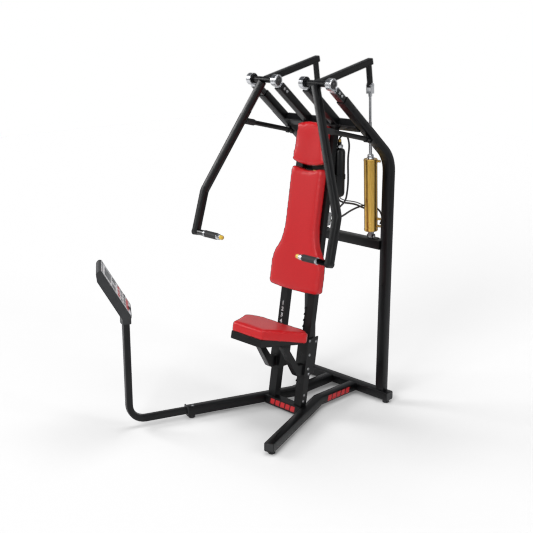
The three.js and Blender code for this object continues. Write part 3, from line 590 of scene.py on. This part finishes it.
def make_hoses():
    """Tank hose, press hoses that run from the frame to their cylinders, and thin air lines."""
    tank = hose("tank_hose_smooth", TANK_HOSE)
    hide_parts("tank_hose")
    for side, name in SIDES:
        joined = hose(f"press_hose_smooth_{name}", mirror_x(PRESS_HOSE, side), body=None)
        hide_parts(f"press_hose_{name}")
        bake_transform(joined)
    hose("tank_line", TANK_LINE)
    hose("tank_line_thin", shifted(TANK_LINE, (2, 7, 12)), 2)
    loop = [(124, -262, 1180), (128, -240, 1200), (141, -232, 1190), (147, -236, 1160), (143, -244, 1136),
            (132, -250, 1132), (124, -262, 1140)]
    hose("control_line", loop, 2, finish="clear")


# ---------- pads ----------
def bake(piece):
    """Makes the piece's modifiers part of its mesh."""
    view = bpy.context.evaluated_depsgraph_get()
    baked = bpy.data.meshes.new_from_object(piece.evaluated_get(view))
    piece.modifiers.clear()
    piece.data = baked


def remesh(piece):
    """Gives the pad an even mesh."""
    even = piece.modifiers.new("even", "REMESH")
    even.mode = "VOXEL"
    even.voxel_size = VOXEL
    bake(piece)


def ease_edges(piece, inset, rounds):
    """Draws the surface in by an inset and rounds its edges."""
    shape = bmesh.new()
    shape.from_mesh(piece.data)
    shape.normal_update()
    for vert in shape.verts:
        vert.co -= vert.normal * inset
    for _ in range(rounds):
        bmesh.ops.smooth_vert(shape, verts=shape.verts, factor=0.5, use_axis_x=True, use_axis_y=True,
                              use_axis_z=True)
    shape.to_mesh(piece.data)
    shape.free()


def puff_up(piece):
    """Blows the cover up as cloth, and keeps each point within the limit of where it started."""
    start = [vert.co.copy() for vert in piece.data.vertices]
    cloth = piece.modifiers.new("cover", "CLOTH")
    cloth.settings.use_pressure = True
    cloth.settings.uniform_pressure_force = 4
    cloth.settings.effector_weights.gravity = 0
    cloth.settings.tension_stiffness = 12
    cloth.settings.bending_stiffness = 2
    cloth.settings.quality = 4
    scene = bpy.context.scene
    for step in range(1, 21):
        scene.frame_set(step)
    bake(piece)
    scene.frame_set(1)
    for vert, place in zip(piece.data.vertices, start):
        move = vert.co - place
        if move.length > PUFF_LIMIT:
            vert.co = place + move * (PUFF_LIMIT / move.length)


def fill_box(piece, node):
    """Stretches the pad slightly, so that it is as large as the solid that it stands for."""
    low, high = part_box(node)
    vertices = piece.data.vertices
    for axis in range(3):
        start = min(vert.co[axis] for vert in vertices)
        end = max(vert.co[axis] for vert in vertices)
        for vert in vertices:
            share = (vert.co[axis] - start) / (end - start)
            vert.co[axis] = low[axis] + share * (high[axis] - low[axis])


def press_flat(piece, place, normal):
    """Keeps the pad on its side of the plane that it rests on."""
    base = (Vector(place) + DATUM) / 1000
    for vert in piece.data.vertices:
        depth = (vert.co - base).dot(normal)
        if depth < PRESSED_GAP:
            vert.co += normal * (PRESSED_GAP - depth)


def make_pad(node, body, place, normal, rounds):
    """A soft pad made from the CAD solid that it stands for."""
    piece = bpy.data.objects.new(f"{node}_cover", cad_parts[node].data.copy())
    bpy.context.scene.collection.objects.link(piece)
    remesh(piece)
    ease_edges(piece, 0.0025, rounds)
    puff_up(piece)
    fill_box(piece, node)
    press_flat(piece, place, normal)
    finer = piece.modifiers.new("finer", "SUBSURF")
    finer.levels = finer.render_levels = 1
    bake(piece)
    piece.data.materials.clear()
    piece.data.materials.append(FINISH["vinyl"].material)
    piece.data.shade_smooth()
    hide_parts(node)
    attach(piece, body)


def make_pads():
    """Back, head and seat pads, each with the plane that it rests on."""
    back_plane = Vector((0, column_front(0), 0)) + PAD_NORMAL * PAD_GAP
    make_pad("back_pad", "frame", back_plane, PAD_NORMAL, 5)
    make_pad("head_pad", "frame", back_plane, PAD_NORMAL, 5)
    make_pad("seat_pad", "seat", SEAT_FRONT, SEAT_NORMAL, 8)


# ---------- base and frame ----------
def make_end_caps():
    """Plastic plugs in the open ends of the tubes."""
    lever_back = Vector((0, math.cos(LEVER_ANGLE), math.sin(LEVER_ANGLE)))
    lever_under = Vector((0, math.sin(LEVER_ANGLE), -math.cos(LEVER_ANGLE)))
    for side, name in SIDES:
        where = spot((side * 364, 27.5, 45), Y * side, Z)
        plate(f"rear_beam_cap_{name}", rounded(53, 48, 6), 4, where, "cap", edge=1.5)
        end = PIVOT + X * side * LEVER_X + lever_back * LEVER_LENGTH + lever_under * LEVER_DROP
        where = spot(end, X * side, lever_back.cross(X) * side)
        plate(f"lever_cap_{name}", rounded(36, 36, 5), 3, where, "cap", f"arm_{name}", edge=1.2)
        top = Vector((side * COLUMN_X, column_front(1686, 18.25), 1686))
        plate(f"column_cap_{name}", rounded(49, 35, 5), 3, spot(top), "cap", edge=1.2)
    plate("left_leg_cap", rounded(54, 48, 6), 4, spot(LEG_END, LEG_SIDE * -1, Z), "cap", edge=1.5)


def make_leg_collar():
    """Collar round the console tube where it slides out of the right leg, with its clamp screw."""
    end = Vector((-LEG_END.x, LEG_END.y, LEG_END.z + 3))
    outward = Vector((-LEG_DIRECTION.x, LEG_DIRECTION.y, 0))
    across = Vector((-LEG_SIDE.x, LEG_SIDE.y, 0))
    for k, (a, b, width, height) in enumerate(((0, 23, 56, 9), (0, -23.5, 56, 6), (23.5, 0, 9, 38),
                                               (-23.5, 0, 9, 38))):
        bar = [(a + p, b + q) for p, q in rounded(width, height, 2.5)]
        plate(f"leg_collar_{k + 1}", bar, 5, spot(end, across, Z), "cap", edge=0.8)
    bolt("leg_clamp_screw", end - outward * 40 + Z * 22, Z, 7)


def slanted_bars(count, width, gap, height, lean):
    """Outlines of a row of slanted bars."""
    pitch = width + gap
    first = -(count - 1) * pitch / 2
    bars = []
    for k in range(count):
        middle = first + k * pitch
        bars.append([(middle - width / 2 - lean, -height / 2), (middle + width / 2 - lean, -height / 2),
                     (middle + width / 2 + lean, height / 2), (middle - width / 2 + lean, height / 2)])
    return bars


def make_stripes():
    """Plain red stripes on the front beam and on the outer side of the left rail."""
    front = spot((0, -532, 45), X, Z)
    side = spot((125.5, -165, 45), Y, Z)
    for place, where in (("front", front), ("side", side)):
        for k, bar in enumerate(slanted_bars(5, 32, 9, 34, 4)):
            plate(f"{place}_stripe_{k + 1}", bar, 0.5, where, "stripe", edge=0.1)


def make_column_numbers():
    """Seat height numbers down the front of the right column."""
    rise = Vector((0, math.sin(RECLINE), math.cos(RECLINE)))
    for k in range(NUMBER_COUNT):
        height = NUMBER_TOP - NUMBER_PITCH * k
        text = bpy.data.curves.new(f"height_number_{k + 1}", "FONT")
        text.body = str(k + 1)
        text.size = NUMBER_SIZE
        text.extrude = 0.25
        text.offset = 0.6
        text.align_x = "CENTER"
        piece = bpy.data.objects.new(f"height_number_{k + 1}", text)
        bpy.context.scene.collection.objects.link(piece)
        text.materials.append(FINISH["label"].material)
        place = Vector((-COLUMN_X, column_front(height, -0.6), height))
        piece.matrix_world = spot(place, X, rise)
        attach(piece, "frame")


def make_seat_hardware():
    """Screws of the seat carriages and of the columns' foot sleeves."""
    carriage = ((-450, 464), (-398, 450), (-452, 378), (-463, 295), (-459, 262))
    sleeves = ((-487, 134), (-494, 98))
    for side, name in SIDES:
        for k, (y, z) in enumerate(carriage):
            bolt(f"carriage_screw_{k + 1}_{name}", (side * CARRIAGE_FACE, y, z), X * side, body="seat")
        for k, (y, z) in enumerate(sleeves):
            bolt(f"sleeve_screw_{k + 1}_{name}", (side * SLEEVE_FACE, y, z), X * side)


# ---------- pivots ----------
def make_hubs():
    """Domed hub caps on both bearings of each arm, and the screws that clamp the housings."""
    dome = [(0, 13), (8, 12.2), (15, 9.8), (20, 6.2), (23, 2.5), (24, 0), (0, 0)]
    ring = [(24.3, 0), (24.3, 2.2), (26, 3), (28.5, 2.2), (29.5, 0), (24.3, 0)]
    for side, name in SIDES:
        for place, x, outward in (("outer", HUB_OUTER, side), ("inner", HUB_INNER, -side)):
            where = facing(PIVOT + X * side * x, X * outward)
            turned(f"{place}_hub_cap_{name}", dome, where, "cap")
            turned(f"{place}_hub_ring_{name}", ring, where, "chrome")
        for k, distance in enumerate((590, 616)):
            stub_side = up_slope(distance, side * (POST_X + STUB_HALF))
            arm_side = up_slope(distance, side * (COLUMN_X - INNER_ARM_HALF))
            bolt(f"stub_screw_{k + 1}_{name}", stub_side, X * side, 6)
            bolt(f"arm_screw_{k + 1}_{name}", arm_side, X * -side, 6)


def make_stop_nuts():
    """Two nuts on the rear end of each arm's stop rod."""
    nut = [(12.7, 0), (20, 0.6), (20.5, 2), (20.5, 9), (20, 10.4), (12.7, 11), (12.7, 0)]
    forward = Vector((0, -math.cos(STOP_SLOPE), math.sin(STOP_SLOPE)))
    for side, name in SIDES:
        for k, (y, z) in enumerate(((-140, 1614.5), (-178, 1623.3))):
            where = facing((side * STOP_X, y, z), forward)
            turned(f"stop_nut_{k + 1}_{name}", nut, where, "paint", segments=6)


# ---------- air cylinders ----------
def make_cylinder_fittings():
    """Gland nut, end bands, air fittings and lower pin heads of each cylinder."""
    band = [(CYLINDER_RADIUS + 0.1, 0), (CYLINDER_RADIUS + 1.2, 0.8), (CYLINDER_RADIUS + 1.2, 9.2),
            (CYLINDER_RADIUS + 0.1, 10), (CYLINDER_RADIUS + 0.1, 0)]
    gland = [(13.3, 0), (22, 0), (22, 6), (17, 9), (17, 20), (15, 26.5), (8.4, 26.5), (8.4, 25.8),
             (13.3, 25.8), (13.3, 0)]
    fitting = [(0, 0), (8, 0), (8, 7), (5.5, 8), (5.5, 15), (7, 16), (7, 21), (0, 22)]
    for side, name in SIDES:
        body = f"cylinder_body_{name}"
        foot = Vector((side * CYLINDER_FOOT.x, CYLINDER_FOOT.y, CYLINDER_FOOT.z))
        for k, height in enumerate((CYLINDER_BOTTOM + 2, CYLINDER_TOP - 12)):
            where = facing(foot + CYLINDER_UP * height, CYLINDER_UP)
            turned(f"cylinder_band_{k + 1}_{name}", band, where, "gold", body, segments=64)
        where = facing(foot + CYLINDER_UP * (CYLINDER_TOP + 0.2), CYLINDER_UP)
        turned(f"gland_nut_{name}", gland, where, "chrome", body)
        outward = (X * side + Y * 0.5).normalized()
        for k, height in enumerate((452, 108, 64)):
            start = foot + CYLINDER_UP * height + outward * (CYLINDER_RADIUS - 1)
            turned(f"air_fitting_{k + 1}_{name}", fitting, facing(start, outward), "brass", body, segments=6)
        for k, end in enumerate((1, -1)):
            bolt(f"cylinder_pin_head_{k + 1}_{name}", foot + X * end * 22, X * end, 8)


def make_tank_fittings():
    """Top cap and fitting of the air tank, and the fittings of the valve block."""
    cap = [(11.3, 0), (19, 0), (20, 2), (20, 12), (17, 15), (11.3, 15), (11.3, 0)]
    nut = [(4.6, 0), (9, 0), (9.6, 1), (9.6, 12), (8, 14), (4.6, 14), (4.6, 0)]
    turned("tank_cap", cap, facing(TANK_PLACE + Z * 1560, Z), "chrome")
    turned("tank_fitting", nut, facing(TANK_PLACE + Z * 1592.4, Z), "brass", segments=6)
    for k, (x, z) in enumerate(((100, 1144), (106, 1166))):
        turned(f"valve_fitting_{k + 1}", nut, facing((x, -264, z), Y), "brass", segments=6)


# ---------- console ----------
def make_console():
    """Printed panel, screens, buttons and end trim of the console."""
    heading = Vector((math.cos(CONSOLE_HEADING), math.sin(CONSOLE_HEADING), 0))
    rise = heading * -math.cos(CONSOLE_TILT) + Z * math.sin(CONSOLE_TILT)
    normal = heading * math.sin(CONSOLE_TILT) + Z * math.cos(CONSOLE_TILT)
    across = rise.cross(normal)

    def on_face(a, b, height=0.0):
        return spot(CONSOLE_CENTRE + across * a + rise * b + normal * (CONSOLE_FACE + height), across, rise)

    plate("panel_print", rounded(216, 290, 10), 1.2, on_face(0, -2), "label", "console", edge=0.3)
    plate("panel_border", rounded(228, 302, 12), 0.5, on_face(0, -2), "grey", "console", edge=0.2)
    screens = ((0, 88, 150, 62), (-56, 26, 70, 34), (56, 26, 70, 34))
    for k, (a, b, width, height) in enumerate(screens):
        shape = rounded(width, height, 5)
        plate(f"screen_{k + 1}", shape, 1.2, on_face(a, b, 1.2), "glass", "console", edge=0.3)
    labels = (("red_label", 50, 22, -24, "stripe"), ("grey_label", 50, 16, -52, "grey"))
    for k, a in enumerate((-70, 0, 70)):
        for name, width, height, b, tone in labels:
            shape = rounded(width, height, 3)
            plate(f"{name}_{k + 1}", shape, 0.5, on_face(a, b, 1.2), tone, "console", edge=0.1)
    shape = rounded(180, 26, 3)
    plate("wide_red_label", shape, 0.5, on_face(0, -112, 1.2), "stripe", "console", edge=0.1)
    button = [(0, 5), (7, 4.6), (9.5, 3), (10, 0), (0, 0)]
    for k, a in enumerate((-78, -26, 26, 78)):
        turned(f"console_button_{k + 1}", button, on_face(a, -80, 1.2), "grey", "console")
    for k, (b, tone) in enumerate(((150, "label"), (142, "grey"))):
        shape = rounded(226, 6, 1.5)
        plate(f"end_stripe_{k + 1}", shape, 0.8, on_face(0, b, 0.6), tone, "console", edge=0.2)
    knob = [(0, 12), (8, 11.5), (11, 9), (12, 5), (9, 3), (6, 0), (0, 0)]
    where = facing(CONSOLE_CENTRE - rise * 160 + across * 70, -rise)
    turned("console_knob", knob, where, "cap", "console")


make_camera()
make_world()
FINISH = make_finishes()
make_stage()
paint_frame()
make_hoses()
make_pads()
make_end_caps()
make_leg_collar()
make_stripes()
make_column_numbers()
make_seat_hardware()
make_hubs()
make_stop_nuts()
make_cylinder_fittings()
make_tank_fittings()
make_console()
